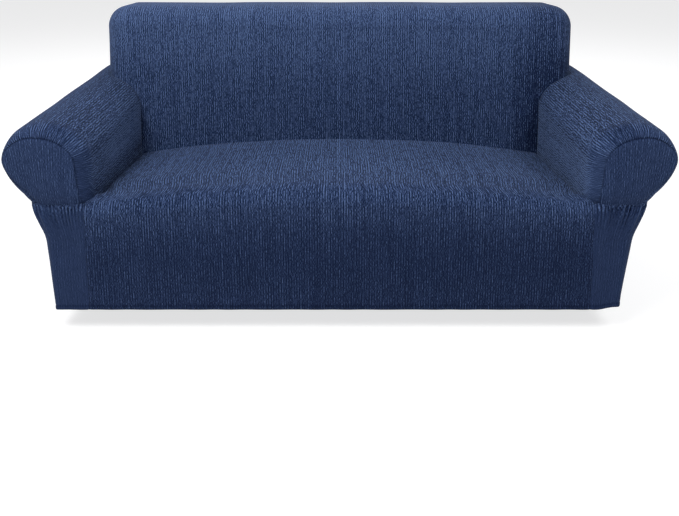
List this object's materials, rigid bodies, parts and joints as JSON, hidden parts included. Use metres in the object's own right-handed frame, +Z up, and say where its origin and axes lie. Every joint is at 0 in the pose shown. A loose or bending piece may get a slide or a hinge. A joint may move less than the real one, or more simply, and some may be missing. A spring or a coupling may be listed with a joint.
{
  "type": "sofa slipcover",
  "caption": "Fitted stretch slipcover for a rolled-arm sofa: hollow knit cloth with gathered arm fronts, boxed back and open hem.",
  "frame": {"origin": "middle of the underside of the back's top, where the sofa's back carries the cover", "axes": "+X across the sofa, the longest way; +Z up; -Y out of the front of the seat"},
  "size_m": [1.968, 0.9083, 0.8531],
  "materials": {
    "navy_knit": "matt, finely ribbed heather stretch knit"
  },
  "bodies": {
    "root": {"seat_front": "navy_knit", "inside_back": "navy_knit", "outside_back": "navy_knit", "arm_sleeve_left": "navy_knit", "arm_sleeve_right": "navy_knit", "arm_cap_left": "navy_knit", "arm_cap_right": "navy_knit", "arm_skirt_left": "navy_knit", "arm_skirt_right": "navy_knit"}
  },
  "joints": []
}
